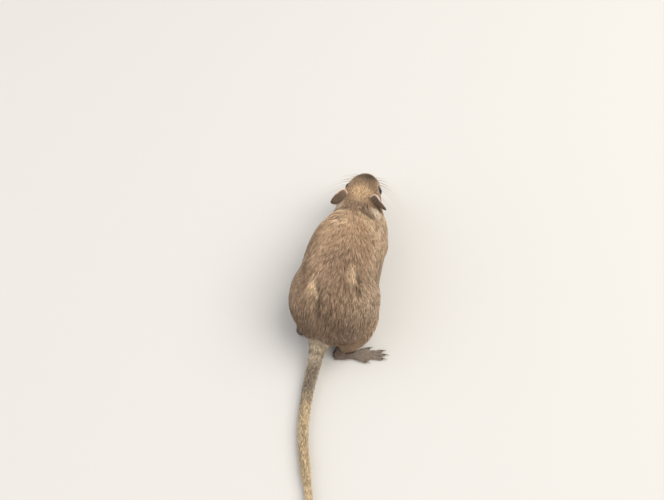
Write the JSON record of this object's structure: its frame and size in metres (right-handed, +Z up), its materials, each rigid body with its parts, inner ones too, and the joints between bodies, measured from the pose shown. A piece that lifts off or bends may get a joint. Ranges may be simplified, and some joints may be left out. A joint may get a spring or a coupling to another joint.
{
  "type": "gerbil",
  "caption": "Life-size agouti gerbil in a low crouch, one hind foot set out to the side and the furred, tufted tail laid out behind, as a still museum model.",
  "frame": {"origin": "on the floor under the middle of the whole animal's bounding box, tail included", "axes": "+Y towards the tail and -Y towards the nose, along the length of the animal; +X to the animal's left; +Z up"},
  "size_m": [0.062, 0.2322, 0.047],
  "materials": {
    "body_coat": "short dense agouti fur, sandy brown ticked with black, greyer over the rump",
    "head_coat": "very short agouti fur with a warm sandy patch between the ears",
    "tail_coat": "short close fur, sandy with a dark line on top and a dark tuft",
    "ear_skin": "thin skin with fine down and a pale front rim",
    "foot": "short pale fur over pink skin, with horn claws",
    "eye": "wet black eyeball"
  },
  "bodies": {
    "root": {"torso": "body_coat", "neck": "body_coat", "head": "head_coat", "left_eye": "eye", "left_ear": "ear_skin", "left_hind_leg": "body_coat", "left_hind_foot": "foot", "left_foreleg": "body_coat", "left_forepaw": "foot", "right_eye": "eye", "right_ear": "ear_skin", "right_hind_leg": "body_coat", "right_hind_foot": "foot", "right_foreleg": "body_coat", "right_forepaw": "foot", "tail_base": "tail_coat", "tail_middle": "tail_coat", "tail_tip": "tail_coat"}
  },
  "joints": []
}
